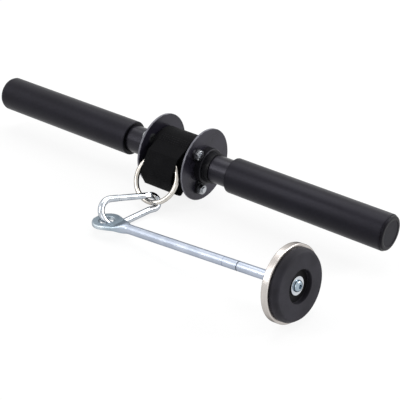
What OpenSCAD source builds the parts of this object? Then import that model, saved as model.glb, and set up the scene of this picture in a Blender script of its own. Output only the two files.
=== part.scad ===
// Wrist roller: a tube bar with two grips, a strap spool between two round flanges,
// a ring in the strap's sewn end, a snap hook and a loading pin for weight plates.
// X runs along the bar, -Y is the side where the strap comes down, Z is up.
// The rest pose is the one of a part that lies on a table.

/* [Bar] */
// overall length over the end plugs
bar_length = 513; // [440:1:620]
// outside diameter of the tube
tube_d = 30; // [26:0.5:32]
// wall of the tube
tube_wall = 2; // [1.5:0.1:3]

/* [Grips] */
// outside diameter of a grip
grip_d = 38; // [35:0.5:44]
// distance of a grip's inner end from the middle of the bar
grip_start = 68; // [60:1:90]
// rounding of the grip's ends
grip_round = 1.2; // [0.5:0.1:2]
// diameter of the rim of an end plug
plug_d = 36; // [33:0.5:42]
// thickness of the rim of an end plug
plug_t = 2.5; // [2:0.1:5]
// length of the plug inside the tube
plug_depth = 18; // [10:1:30]

/* [Spool] */
// diameter of a flange
flange_d = 79; // [76:1:90]
// thickness of a flange
flange_t = 2.5; // [2.2:0.1:3]
// clear width between the flanges
spool_w = 56; // [55:0.5:60]
// width of the webbing
strap_w = 50; // [46:0.5:51]
// thickness of the webbing
strap_t = 2; // [1.6:0.1:2.2]
// diameter of the wound coil
coil_d = 54; // [50:0.5:56]

/* [Hub] */
// diameter of the hub's boss
hub_d = 39; // [37:0.5:39.4]
// length of the hub from the flange
hub_length = 7.5; // [7:0.1:12]
// thickness of the hub's ears
ear_t = 2; // [1.5:0.1:2.6]
// distance of a flange bolt from the shaft's axis
bolt_reach = 25.8; // [25.6:0.1:28]
// nominal diameter of the flange bolts
bolt_d = 6; // [5:0.5:6]
// diameter of the bearing sleeve beside the hub
sleeve_d = 33; // [32.5:0.1:37]
// length of the bearing sleeve
sleeve_length = 7; // [5:0.5:12]
// diameter of the hub's grub screw
grub_d = 4; // [3:0.5:5]

/* [Ring] */
// wire of the ring
ring_wire = 5.4; // [4.5:0.1:5.5]
// inside diameter of the ring
ring_bore = 45; // [43:0.5:46]
// lean of the ring from the vertical
ring_tilt = 34; // [33:1:37]

/* [Snap hook] */
// wire of the hook
hook_wire = 7; // [6:0.1:7.2]
// distance between the centres of its two bends
hook_span = 48; // [45:0.5:50]
// radius of the wire's centre line in the wide bend
hook_wide = 14; // [13.5:0.1:15]
// radius of the wire's centre line in the narrow bend
hook_narrow = 7.4; // [7.2:0.1:8]
// diameter of the rivet on which the gate turns
rivet_d = 2.5; // [2:0.1:2.6]

/* [Loading pin] */
// diameter of the rod
rod_d = 10; // [9:0.5:12]
// length from the hole in the eye to the disc
rod_length = 233; // [180:1:300]
// width of the flattened eye
eye_w = 31; // [28:0.5:33]
// thickness of the flattened eye
eye_t = 4.5; // [4:0.1:5]
// hole in the eye
eye_hole = 15.5; // [15:0.5:17]
// diameter of the steel disc
disc_d = 76.4; // [70:0.2:78]
// thickness of the steel disc
disc_t = 7.6; // [6:0.2:12]
// diameter of the rubber foot
foot_d = 70.8; // [66:0.2:73]
// thickness of the rubber foot
foot_t = 8.4; // [8.2:0.2:14]
// diameter of the recess in the foot
recess_d = 33; // [26:0.5:40]
// thickness of rubber under the washer
web_t = 3.1; // [2.5:0.1:3.4]
// diameter of the foot screw's washer
foot_washer_d = 18; // [15:0.5:20]
// thickness of the foot screw's washer
foot_washer_t = 1.6; // [1:0.1:2]
// diameter of the foot screw's thread
foot_screw_d = 6; // [5:0.5:6]

/* [Hidden] */
// which node is drawn

// clearance of a turning fit or a slipped-on fit, on the radius
fit = 0.05;
// gap between a piece at rest and what carries it
seat = 0.3;

// fixed values of the bar
tube_r = tube_d / 2;
grip_end = bar_length / 2 - plug_t;
plug_chamfer = 0.8;
plug_dish = 0.5;
plug_lip = 4;
plug_wall = 3;

// the flange stands from the face of the spool outwards
flange_r = flange_d / 2;
flange_in = spool_w / 2;
flange_out = flange_in + flange_t;
flange_edge = 0.5;
hub_out = flange_out + hub_length;
hub_edge = 0.8;
grub_x = flange_out + ear_t + (hub_length - ear_t) / 2;
grub_angle = -30;
grub_socket = 2;

// two bolts on the side where the strap comes down
bolt_angles = [130, 242];
bolt_r = bolt_d / 2;
head_r = bolt_r + 2.4;
head_depth = head_r - bolt_r;
washer_r = bolt_r + 2.9;
washer_t = 1.2;
nut_r = bolt_d * 5 / 6;
nut_t = 4;
ear_r = washer_r + 0.6;
bolt_end = flange_out + ear_t + washer_t + nut_t + 1;
washer_in = flange_out + ear_t;
nut_in = washer_in + washer_t;

// coil: a plain core, and one outer turn that runs on into the tail
coil_r = coil_d / 2;
turn_r = coil_r - strap_t / 2;
core_r = coil_r - strap_t - seat;
core_groove = 0.4;
core_lines = 5;
turn_start = 205;
turn_end = 530;
turn_step = 5;
turn_steps = (turn_end - turn_start) / turn_step;
loop_w = strap_w * 0.8;

// ring: its top lies in the sewn loop in front of the coil
ring_r = (ring_bore + ring_wire) / 2;
ring_x = 0;
ring_play = 2.8;
ring_at = 157.7;
ring_rho = coil_r + ring_play + ring_wire / 2;
ring_top = [ring_x, ring_rho * cos(ring_at), ring_rho * sin(ring_at)];
ring_down = [0, -sin(ring_tilt), -cos(ring_tilt)];
ring_mid = ring_top + ring_r * ring_down;

// the snap hook is threaded on the ring a few degrees beside the ring's lowest point,
// and as the wires cross slantwise, the ring stays a little nearer to the middle of the bend
thread_at = 8.2;
thread = ring_mid + ring_r * (sin(thread_at) * [1, 0, 0] + cos(thread_at) * ring_down);
hook_yaw = 74.3;
hook_roll = 37.4;
hook_slant = 2;
hook_slack = hook_narrow - hook_wire / 2 - ring_wire / 2 - seat - hook_slant;
level_u = [cos(hook_yaw), sin(hook_yaw), 0];
narrow_mid = thread - hook_slack * level_u;
floor_z = -flange_r;
wide_z = floor_z + hook_wire / 2 + hook_wide * cos(hook_roll);
hook_pitch = asin((narrow_mid[2] - wide_z) / hook_span);
hook_u = [cos(hook_pitch) * cos(hook_yaw), cos(hook_pitch) * sin(hook_yaw), sin(hook_pitch)];
hook_up = [-sin(hook_pitch) * cos(hook_yaw), -sin(hook_pitch) * sin(hook_yaw), cos(hook_pitch)];
hook_side = [-sin(hook_yaw), cos(hook_yaw), 0];
hook_w = cos(hook_roll) * hook_up + sin(hook_roll) * hook_side;
wide_mid = narrow_mid - hook_span * hook_u;

// shape of the hook in its own plane: the gate side is the straight line that touches both bends
gate_slope = asin((hook_wide - hook_narrow) / hook_span);
line_start = [hook_wide * sin(gate_slope), hook_wide * cos(gate_slope)];
line_dir = [cos(gate_slope), -sin(gate_slope)];
line_length = hook_span * cos(gate_slope);
nose_end = 8;
rivet_at = line_length - hook_wire / 2 - seat;
rivet_r = rivet_d / 2;
rivet_head_r = rivet_r + 1;
rivet_head_t = 0.6;
gate_r = hook_wire / 2 - 0.2;
gate_half = gate_r - 0.4;
tongue_t = 2.2;
slot_t = tongue_t + 2 * seat;
tongue_r = gate_r - 0.4;
tongue_nose = 3.6;
weld = 0.03;
spring_bore = 1.9;
spring_length = 12;
spring_wire = 0.5;
spring_r = 1.35;
spring_turns = 12;
kink_back = 6;
kink = [hook_span - kink_back, -hook_narrow];
kink_far = norm(kink);
kink_turn = atan2(kink[1], kink[0]) - acos(hook_wide / kink_far);
spine_start = [hook_wide * cos(kink_turn), hook_wide * sin(kink_turn)];

// loading pin: its eye hangs on the wide bend, its disc stands on the floor
rod_r = rod_d / 2;
eye_r = eye_w / 2;
eye_at = 210.6;
eye_shift = [1.8, 0.1];
cross_at = wide_mid + hook_wide * (cos(eye_at) * hook_u + sin(eye_at) * hook_w);
pin_yaw = -3.4;
disc_r = disc_d / 2;
eye_lift = 0.9;
eye_z = floor_z + hook_wire + seat + eye_t / 2 + eye_lift;
pin_pitch = asin((floor_z + disc_r - eye_z) / rod_length);
pin_z = floor_z + disc_r * cos(pin_pitch) - rod_length * sin(pin_pitch);
pin_eye = [cross_at[0] + eye_shift[0], cross_at[1] + eye_shift[1], pin_z];
pin_dir = [cos(pin_pitch) * cos(pin_yaw), cos(pin_pitch) * sin(pin_yaw), sin(pin_pitch)];
neck_end = 32;
neck_start = 12;
neck_sink = 0.4;
groove_at = [158.6, 176.1];
groove_w = 0.8;
groove_depth = 0.3;
disc_edge = 0.8;
foot_r = foot_d / 2;
foot_in = rod_length + disc_t;
foot_bevel = 3;
foot_band = 4.5;
recess_r = recess_d / 2;
screw_r = foot_screw_d / 2;
screw_head_r = screw_r * 1.95;
screw_head_t = screw_r * 1.1;
screw_depth = 22;
socket_across = foot_screw_d * 2 / 3;
washer_at = foot_in + web_t;
head_at = washer_at + foot_washer_t;

// the origin is the middle of the underside of the box round the whole part
disc_mid = pin_eye + rod_length * pin_dir;
low_y = disc_mid[1] + disc_t * pin_dir[1] - disc_r * sqrt(1 - pin_dir[1] * pin_dir[1]);
mid_y = (low_y + flange_r) / 2;

round_steps = 96;
wire_steps = 32;
small_steps = 32;

// moves the shaft-centred model to the row's origin
module placed() {
  translate([0, -mid_y, -floor_z])
    children();
}

// turns a profile drawn in radius and height about the bar's axis
module about_x() {
  rotate([0, 90, 0])
    children();
}

// mirrored copy for the left side
module side(name) {
  mirror([name == "left" ? 1 : 0, 0, 0])
    children();
}

module in_ring() {
  translate(ring_mid)
    rotate([90 - ring_tilt, 0, 0])
      children();
}

// hook frame: X from the wide bend to the narrow one, Z to the gate's side
module in_hook() {
  translate(wide_mid)
    rotate([0, 0, hook_yaw])
      rotate([0, -hook_pitch, 0])
        rotate([-hook_roll, 0, 0])
          children();
}

// gate frame: origin in the rivet, X towards the nose, Z outwards
module in_gate() {
  translate([line_start[0] + rivet_at * line_dir[0], 0, line_start[1] + rivet_at * line_dir[1]])
    rotate([0, gate_slope, 0])
      mirror([1, 0, 0])
        children();
}

// pin frame: origin in the hole of the eye, X along the rod
module in_pin() {
  translate(pin_eye)
    rotate([0, 0, pin_yaw])
      rotate([0, -pin_pitch, 0])
        children();
}

module ring_of(outer, inner, length) {
  difference() {
    cylinder(r = outer, h = length, $fn = round_steps);
    translate([0, 0, -1])
      cylinder(r = inner, h = length + 2, $fn = round_steps);
  }
}

module handle_tube() {
  color("#26262a")
    placed()
      translate([-grip_end, 0, 0])
        about_x()
          ring_of(tube_r, tube_r - tube_wall, 2 * grip_end);
}

module grip(name) {
  color("#2c2b31")
    placed()
      side(name)
        translate([grip_start, 0, 0])
          about_x()
            rotate_extrude($fn = round_steps)
              polygon([
                [tube_r, 0],
                [grip_d / 2 - grip_round, 0],
                [grip_d / 2, grip_round],
                [grip_d / 2, grip_end - grip_start - grip_round],
                [grip_d / 2 - grip_round, grip_end - grip_start],
                [tube_r, grip_end - grip_start]
              ]);
}

module plug(name) {
  inner = tube_r - tube_wall - fit;
  color("#232327")
    placed()
      side(name)
        translate([grip_end, 0, 0])
          about_x()
            rotate_extrude($fn = round_steps)
              polygon([
                [inner - plug_wall, -plug_depth],
                [inner, -plug_depth],
                [inner, 0],
                [plug_d / 2, 0],
                [plug_d / 2, plug_t - plug_chamfer],
                [plug_d / 2 - plug_chamfer, plug_t],
                [plug_d / 2 - plug_lip, plug_t],
                [plug_d / 2 - plug_lip - plug_dish, plug_t - plug_dish],
                [0, plug_t - plug_dish],
                [0, -plug_dish],
                [inner - plug_wall, -plug_dish]
              ]);
}

module at_bolts() {
  for (a = bolt_angles)
    translate([0, bolt_reach * cos(a), bolt_reach * sin(a)])
      about_x()
        children();
}

module flange(name) {
  color("#3a3942")
    placed()
      side(name)
        difference() {
          translate([flange_in, 0, 0])
            about_x()
              rotate_extrude($fn = round_steps)
                polygon([
                  [tube_r + fit, 0],
                  [flange_r - flange_edge, 0],
                  [flange_r, flange_edge],
                  [flange_r, flange_t - flange_edge],
                  [flange_r - flange_edge, flange_t],
                  [tube_r + fit, flange_t]
                ]);
          at_bolts()
            translate([0, 0, flange_in - 1])
              cylinder(r = bolt_r + fit, h = flange_t + 2, $fn = small_steps);
          at_bolts()
            translate([0, 0, flange_in - 0.01])
              cylinder(r1 = head_r + fit, r2 = bolt_r + fit, h = head_depth, $fn = small_steps);
        }
}

module ear_shape() {
  for (a = bolt_angles) {
    rotate([0, 0, a])
      translate([0, -ear_r, 0])
        square([bolt_reach, 2 * ear_r]);
    translate([bolt_reach * cos(a), bolt_reach * sin(a)])
      circle(r = ear_r, $fn = small_steps);
  }
  circle(r = hub_d / 2, $fn = round_steps);
}

module hub(name) {
  color("#1f1f22")
    placed()
      side(name)
        difference() {
          union() {
            translate([flange_out, 0, 0])
              rotate([90, 0, 90])
                linear_extrude(ear_t)
                  ear_shape();
            translate([flange_out, 0, 0])
              about_x()
                rotate_extrude($fn = round_steps)
                  polygon([
                    [0, 0],
                    [hub_d / 2, 0],
                    [hub_d / 2, hub_length - hub_edge],
                    [hub_d / 2 - hub_edge, hub_length],
                    [0, hub_length]
                  ]);
          }
          translate([flange_out - 1, 0, 0])
            about_x()
              cylinder(r = tube_r + fit, h = hub_length + 2, $fn = round_steps);
          at_bolts()
            translate([0, 0, flange_out - 1])
              cylinder(r = bolt_r + fit, h = ear_t + 2, $fn = small_steps);
          translate([grub_x, 0, 0])
            rotate([grub_angle, 0, 0])
              rotate([-90, 0, 0])
                cylinder(r = grub_d / 2 + fit, h = hub_d, $fn = small_steps);
        }
}

module hub_grub_screws() {
  length = hub_d / 2 - tube_r - fit - hub_edge;
  color("#3a3a3e")
    placed()
      for (name = ["left", "right"])
        side(name)
          translate([grub_x, 0, 0])
            rotate([grub_angle, 0, 0])
              rotate([-90, 0, 0])
                translate([0, 0, tube_r + fit])
                  difference() {
                    cylinder(r = grub_d / 2, h = length, $fn = small_steps);
                    translate([0, 0, length - grub_socket])
                      cylinder(d = grub_d / 2, h = grub_socket + 1, $fn = 6);
                  }
}

module sleeve(name) {
  color("#18181b")
    placed()
      side(name)
        translate([hub_out, 0, 0])
          about_x()
            ring_of(sleeve_d / 2, tube_r, sleeve_length);
}

module flange_bolts() {
  color("#c9cbd0")
    placed()
      for (name = ["left", "right"])
        side(name)
          at_bolts()
            difference() {
              union() {
                translate([0, 0, flange_in])
                  cylinder(r1 = head_r, r2 = bolt_r, h = head_depth, $fn = small_steps);
                translate([0, 0, flange_in])
                  cylinder(r = bolt_r, h = bolt_end - flange_in, $fn = small_steps);
              }
              translate([0, 0, flange_in - 1])
                cylinder(d = bolt_d * 2 / 3, h = head_depth, $fn = 6);
            }
}

module flange_washers() {
  color("#d4d6da")
    placed()
      for (name = ["left", "right"])
        side(name)
          at_bolts()
            translate([0, 0, washer_in])
              ring_of(washer_r, bolt_r + fit, washer_t);
}

module flange_nuts() {
  color("#d4d6da")
    placed()
      for (name = ["left", "right"])
        side(name)
          at_bolts()
            translate([0, 0, nut_in])
              difference() {
                intersection() {
                  cylinder(r = nut_r / cos(30), h = nut_t, $fn = 6);
                  cylinder(r1 = nut_r + nut_t, r2 = nut_r - 0.1, h = nut_t, $fn = small_steps);
                }
                translate([0, 0, -1])
                  cylinder(r = bolt_r + fit, h = nut_t + 2, $fn = small_steps);
              }
}

module groove_ring(r) {
  ring_of(r + core_groove / 2, r - core_groove / 2, 2 * core_groove);
}

// inner layers of the coil, as one plain drum with the layers' lines on its sides
module strap_core() {
  step = (core_r - tube_r) / core_lines;
  color("#1c1c1e")
    placed()
      difference() {
        translate([-strap_w / 2, 0, 0])
          about_x()
            ring_of(core_r, tube_r, strap_w);
        for (x = [-strap_w / 2, strap_w / 2])
          for (k = [1:core_lines - 1])
            translate([x - core_groove, 0, 0])
              about_x()
                groove_ring(tube_r + k * step);
      }
}

// centre line of the outer turn, in Y and Z
function arc_points(r, from, to, n) =
  [for (k = [0:n]) r * [cos(from + (to - from) * k / n), sin(from + (to - from) * k / n)]];

// a smooth line through the given points
function smooth(p, n) =
  [for (i = [1:len(p) - 3]) for (k = [0:n - 1])
    let (t = k / n, a = p[i - 1], b = p[i], c = p[i + 1], d = p[i + 2])
      b + t * (c - a) / 2 + t * t * (a - 2.5 * b + 2 * c - 0.5 * d)
        + t * t * t * (1.5 * (b - c) + 0.5 * (d - a))];

function unit(v) = v / norm(v);
function normal_at(p, i) =
  let (d = unit(p[min(i + 1, len(p) - 1)] - p[max(i - 1, 0)])) [-d[1], d[0]];
function beside(p, h) = [for (i = [0:len(p) - 1]) p[i] + h * normal_at(p, i)];

// the loop: down in front of the coil, round the fold, up over the ring's wire, sewn on the coil
top_yz = [ring_top[1], ring_top[2]];
leave = turn_r * [cos(turn_end), sin(turn_end)];
leave_dir = [-sin(turn_end), cos(turn_end)];
over_r = ring_wire / 2 + seat + strap_t / 2;
sewn_r = coil_r + strap_t / 2;
sewn_from = 130;
sewn_to = 110;
fold_drop = 25;
fold_depth = 17.5;
leave_step = 10;
slope_step = 8;
slope_play = 0.2;
// the front layer lies on the ring's wire: along its slope, then over its top
ring_slope = [ring_down[1], ring_down[2]];
ring_front = [ring_down[2], -ring_down[1]];
slope_points = [for (k = [2:-1:0]) top_yz + k * slope_step * ring_slope + (over_r + slope_play) * ring_front];
over_top = top_yz + over_r * [cos(112), sin(112)];
sewn_start = sewn_r * [cos(sewn_from), sin(sewn_from)];
over_wire = [for (k = [0:2]) over_top + k / 3 * (sewn_start - over_top)];
loop_points = concat(
  [for (k = [-0.3, 0, 1, 2]) leave + k * leave_step * leave_dir],
  [
    leave + 1.04 * fold_drop * leave_dir - [0.057 * fold_depth, 0],
    leave + 1.14 * fold_drop * leave_dir - [0.251 * fold_depth, 0],
    leave + fold_drop * leave_dir - [0.549 * fold_depth, 0],
    leave + 0.7 * fold_drop * leave_dir - [0.823 * fold_depth, 0],
    leave + 0.36 * fold_drop * leave_dir - [fold_depth, 0]
  ],
  slope_points,
  over_wire,
  [sewn_start, sewn_r * [cos(sewn_from - 2 * turn_step), sin(sewn_from - 2 * turn_step)]]
);
turn_line = arc_points(turn_r, turn_start, turn_end, turn_steps);
hang_line = smooth(loop_points, 3);
sewn_line = arc_points(sewn_r, sewn_from, sewn_to, (sewn_from - sewn_to) / turn_step);
loop_line = concat([for (i = [1:len(hang_line) - 1]) hang_line[i]], sewn_line);
whole_line = concat(turn_line, loop_line);

// the webbing's two faces: one lies on the coil and turns outwards in the loop, the other lines the loop
coil_face = beside(whole_line, strap_t / 2);
loop_face = beside(whole_line, -strap_t / 2);
last = len(whole_line) - 1;
sewn_first = (360 + sewn_from - turn_start) / turn_step;
sewn_last = (360 + sewn_to - turn_start) / turn_step;
outline = concat(coil_face, [for (i = [sewn_last:-1:0]) loop_face[i]]);
pocket = [for (i = [sewn_first:last - (sewn_from - sewn_to) / turn_step - 1]) loop_face[i]];

// the webbing keeps its full width down to the fold, and is drawn together from there up to the ring
fold_low = turn_steps + 12;
wide_shape = concat(
  [for (i = [0:fold_low]) coil_face[i]],
  [for (i = [fold_low:-1:0]) loop_face[i]]
);

// least gap of the webbing to itself between the turn's first part and the layer that hangs before it
turn_head = [for (i = [0:6]) loop_face[i]];
hang_part = [for (i = [turn_steps + 2:last]) coil_face[i]];
self_gap = min([for (a = turn_head) for (b = hang_part) norm(a - b)]);
echo(strap_gap_to_itself = self_gap);

module strap_end() {
  color("#202022")
    placed()
      rotate([90, 0, 90]) {
        translate([0, 0, -strap_w / 2])
          linear_extrude(strap_w)
            polygon(wide_shape);
        translate([0, 0, -loop_w / 2])
          linear_extrude(loop_w)
            difference() {
              polygon(outline);
              polygon(pocket);
            }
      }
}

module ring() {
  color("#d8d4cc")
    placed()
      in_ring()
        rotate_extrude($fn = round_steps)
          translate([ring_r, 0])
            circle(d = ring_wire, $fn = wire_steps);
}

// straight piece of wire between two points of the hook's plane
module wire_line(a, b, r) {
  translate([a[0], 0, a[1]])
    rotate([0, 90 - atan2(b[1] - a[1], b[0] - a[0]), 0])
      cylinder(r = r, h = norm(b - a), $fn = wire_steps);
}

// smooth joint between two pieces of wire that run at an angle in the hook's plane
module wire_joint(p, angle, r) {
  translate([p[0], 0, p[1]])
    rotate([0, 90 - angle, 0])
      rotate([0, 0, 50])
        sphere(r = r + weld, $fn = wire_steps);
}

// bend of wire in the hook's plane, from one angle to another
module wire_bend(mid, bend, from, to) {
  translate([mid, 0, 0])
    rotate([90, 0, 0])
      rotate([0, 0, from])
        rotate_extrude(angle = to - from, $fn = round_steps)
          translate([bend, 0])
            circle(d = hook_wire, $fn = wire_steps);
}

module hook_body() {
  r = hook_wire / 2;
  nose = line_start + nose_end * line_dir;
  color("#d6dade")
    placed()
      in_hook()
        difference() {
          union() {
            wire_line(line_start, nose, r);
            wire_bend(0, hook_wide, 90 - gate_slope, 360 + kink_turn);
            wire_line(spine_start, kink, r);
            wire_joint(line_start, -gate_slope, r);
            wire_joint(spine_start, kink_turn + 90, r);
            wire_joint(kink, (kink_turn + 90) / 2, r);
            wire_joint([hook_span, -hook_narrow], 0, r);
            wire_line(kink, [hook_span, -hook_narrow], r);
            wire_bend(hook_span, hook_narrow, -90, 90 - gate_slope);
            in_gate() {
              translate([-r - seat - 0.5, -tongue_t / 2, -tongue_r])
                cube([r + seat + 0.5, tongue_t, 2 * tongue_r]);
              rotate([90, 0, 0])
                cylinder(r = tongue_r, h = tongue_t, center = true, $fn = wire_steps);
              translate([rivet_at - nose_end - tongue_nose, -tongue_t / 2, -gate_r + 1.2])
                cube([tongue_nose + 0.5, tongue_t, 2 * gate_r - 2.4]);
            }
          }
          in_gate()
            rotate([90, 0, 0])
              cylinder(r = rivet_r + fit, h = 2 * hook_wire, center = true, $fn = wire_steps);
        }
}

module hook_gate() {
  length = rivet_at - nose_end - seat;
  color("#dfe2e6")
    placed()
      in_hook()
        in_gate()
          difference() {
            union() {
              rotate([0, 90, 0])
                cylinder(r = gate_r, h = length, $fn = wire_steps);
              sphere(r = gate_r, $fn = wire_steps);
            }
            translate([-2 * gate_r, -slot_t / 2, -2 * gate_r])
              cube([2 * gate_r + tongue_r + seat, slot_t, 4 * gate_r]);
            translate([length - tongue_nose - seat, -slot_t / 2, -2 * gate_r])
              cube([tongue_nose + 1, slot_t, 4 * gate_r]);
            for (s = [-1, 1])
              translate([-gate_r - 1, s * (gate_half + 1) - 1, -gate_r - 1])
                cube([2 * gate_r + 1, 2, 2 * gate_r + 2]);
            rotate([90, 0, 0])
              cylinder(r = rivet_r + fit, h = 2 * hook_wire, center = true, $fn = wire_steps);
            rotate([0, 90, 0])
              cylinder(r = spring_bore, h = tongue_r + seat + spring_length, $fn = wire_steps);
          }
}

module gate_rivet() {
  color("#c4c8cc")
    placed()
      in_hook()
        in_gate()
          rotate([90, 0, 0]) {
            cylinder(r = rivet_r, h = 2 * gate_half, center = true, $fn = wire_steps);
            for (s = [0, 1])
              mirror([0, 0, s])
                translate([0, 0, gate_half])
                  cylinder(r1 = rivet_head_r, r2 = rivet_head_r - 0.4, h = rivet_head_t, $fn = wire_steps);
          }
}

// the spring that shuts the gate, wound as a helix along X
function curl_ring(i, rings, pitch) =
  let (a = 360 * i / rings, x = pitch * i / rings)
    [for (k = [0:5])
      let (q = spring_r + spring_wire / 2 * cos(60 * k))
        [x + spring_wire / 2 * sin(60 * k), q * cos(a), q * sin(a)]];

module gate_spring() {
  rings = 8;
  count = rings * spring_turns;
  pitch = (spring_length - 2 * spring_wire) / spring_turns;
  points = [for (i = [0:count]) each curl_ring(i, rings, pitch)];
  faces = concat(
    [for (i = [0:count - 1]) for (k = [0:5])
      [6 * i + k, 6 * i + (k + 1) % 6, 6 * (i + 1) + k]],
    [for (i = [0:count - 1]) for (k = [0:5])
      [6 * i + (k + 1) % 6, 6 * (i + 1) + (k + 1) % 6, 6 * (i + 1) + k]],
    [for (k = [1:4]) [0, k + 1, k]],
    [for (k = [1:4]) [6 * count, 6 * count + k, 6 * count + k + 1]]
  );
  color("#9ea2a8")
    placed()
      in_hook()
        in_gate()
          translate([tongue_r + seat + spring_wire / 2, 0, 0])
            polyhedron(points = points, faces = faces, convexity = 10);
}
echo(spring_gap_to_itself = (spring_length - 2 * spring_wire) / spring_turns - spring_wire);

module eye_shape() {
  half = rod_r - neck_sink;
  far = norm([neck_end, half]);
  turn = atan2(half, neck_end) + acos(eye_r / far);
  polygon([
    [0, 0],
    [eye_r * cos(turn), -eye_r * sin(turn)],
    [neck_end, -half],
    [neck_end, half],
    [eye_r * cos(turn), eye_r * sin(turn)]
  ]);
  circle(r = eye_r, $fn = round_steps);
}

module loading_rod() {
  color("#a9b4bd")
    placed()
      in_pin()
        difference() {
          union() {
            translate([0, 0, -eye_t / 2])
              linear_extrude(eye_t)
                eye_shape();
            difference() {
              translate([neck_start, 0, 0])
                rotate([0, 90, 0])
                  cylinder(r = rod_r, h = foot_in - neck_start, $fn = wire_steps);
              for (s = [0, 1])
                mirror([0, 0, s])
                  translate([0, rod_r + 1, 0])
                    rotate([90, 0, 0])
                      linear_extrude(2 * rod_r + 2)
                        polygon([
                          [neck_start - 1, eye_t / 2 - neck_sink],
                          [neck_end, rod_r + neck_sink],
                          [neck_start - 1, rod_r + neck_sink]
                        ]);
            }
          }
          translate([0, 0, -eye_t])
            cylinder(d = eye_hole, h = 2 * eye_t, $fn = round_steps);
          translate([foot_in - screw_depth, 0, 0])
            rotate([0, 90, 0])
              cylinder(r = screw_r + fit, h = screw_depth + 1, $fn = small_steps);
          for (x = groove_at)
            translate([x, 0, 0])
              rotate([0, 90, 0])
                ring_of(rod_r + 1, rod_r - groove_depth, groove_w);
        }
}

module base_disc() {
  color("#c9c2bd")
    placed()
      in_pin()
        translate([rod_length, 0, 0])
          rotate([0, 90, 0])
            rotate_extrude($fn = round_steps)
              polygon([
                [rod_r + fit, 0],
                [disc_r - disc_edge, 0],
                [disc_r, disc_edge],
                [disc_r, disc_t - disc_edge],
                [disc_r - disc_edge, disc_t],
                [rod_r + fit, disc_t]
              ]);
}

module rubber_foot() {
  color("#3b393f")
    placed()
      in_pin()
        translate([foot_in, 0, 0])
          rotate([0, 90, 0])
            rotate_extrude($fn = round_steps)
              polygon([
                [screw_r + fit, 0],
                [foot_r, 0],
                [foot_r, foot_t - foot_band],
                [foot_r - foot_bevel, foot_t],
                [recess_r, foot_t],
                [recess_r, web_t],
                [screw_r + fit, web_t]
              ]);
}

module foot_washer() {
  color("#d9dbdf")
    placed()
      in_pin()
        translate([washer_at, 0, 0])
          rotate([0, 90, 0])
            ring_of(foot_washer_d / 2, screw_r + fit, foot_washer_t);
}

module foot_screw() {
  color("#c3ccd4")
    placed()
      in_pin()
        rotate([0, 90, 0])
          difference() {
            union() {
              translate([0, 0, foot_in - screw_depth + 2])
                cylinder(r = screw_r, h = screw_depth - 2 + web_t + foot_washer_t + 0.5, $fn = small_steps);
              translate([0, 0, head_at])
                cylinder(r1 = screw_head_r, r2 = screw_head_r * 0.8, h = screw_head_t, $fn = small_steps);
            }
            translate([0, 0, head_at + screw_head_t - 2])
              cylinder(d = socket_across / cos(30), h = 3, $fn = 6);
          }
}

handle_tube();
grip("left");  // left_grip
grip("right");  // right_grip
plug("left");  // left_plug
plug("right");  // right_plug
flange("left");  // left_flange
flange("right");  // right_flange
hub("left");  // left_hub
hub("right");  // right_hub
sleeve("left");  // left_sleeve
sleeve("right");  // right_sleeve
hub_grub_screws();
flange_bolts();
flange_washers();
flange_nuts();
strap_core();
strap_end();
ring();
hook_body();
hook_gate();
gate_rivet();
gate_spring();
loading_rod();
base_disc();
rubber_foot();
foot_washer();
foot_screw();
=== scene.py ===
"""Wrist roller on a pale studio floor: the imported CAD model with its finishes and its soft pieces."""
import math
import bmesh
import bpy
from mathutils import Matrix, Vector


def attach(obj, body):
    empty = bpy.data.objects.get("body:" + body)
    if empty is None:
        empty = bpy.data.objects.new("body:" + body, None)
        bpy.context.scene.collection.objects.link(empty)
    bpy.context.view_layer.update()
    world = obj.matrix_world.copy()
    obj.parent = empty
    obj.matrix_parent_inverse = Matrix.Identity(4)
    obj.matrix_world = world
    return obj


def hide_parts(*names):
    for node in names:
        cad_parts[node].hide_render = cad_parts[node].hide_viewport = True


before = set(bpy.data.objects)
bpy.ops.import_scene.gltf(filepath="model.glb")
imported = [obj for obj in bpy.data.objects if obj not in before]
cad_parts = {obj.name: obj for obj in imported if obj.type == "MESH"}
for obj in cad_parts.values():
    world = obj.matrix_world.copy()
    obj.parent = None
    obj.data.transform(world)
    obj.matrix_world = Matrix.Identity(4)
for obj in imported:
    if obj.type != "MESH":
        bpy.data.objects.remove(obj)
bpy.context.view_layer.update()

# Studio: a matt white floor, big soft lamps, and a long lens that looks down from the right end of the bar.
# The camera and the polished metal see floor and sky as white, while the lamps light the part plainly.
# Camera, lamps and floor are in metres and radians; the part's own sizes below are in millimetres.
MM = 0.001
AZIMUTH = 0.65990994
ELEVATION = 0.52073084
ROLL = 0.00457308
DISTANCE = 1.38886
AIM = Vector((0.0235388, 0.0644937, -0.0059482))
LENS_PIXELS = 1290.23
PHOTO_SIDE = 400
SENSOR = 36.0
WHITE = (1.0, 1.0, 1.0, 1.0)
PAPER = (0.93, 0.93, 0.93, 1.0)
SKY_LIGHT = 0.4
FLOOR_SIDE = 12.0
FLOOR_DROP = 0.0002


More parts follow.
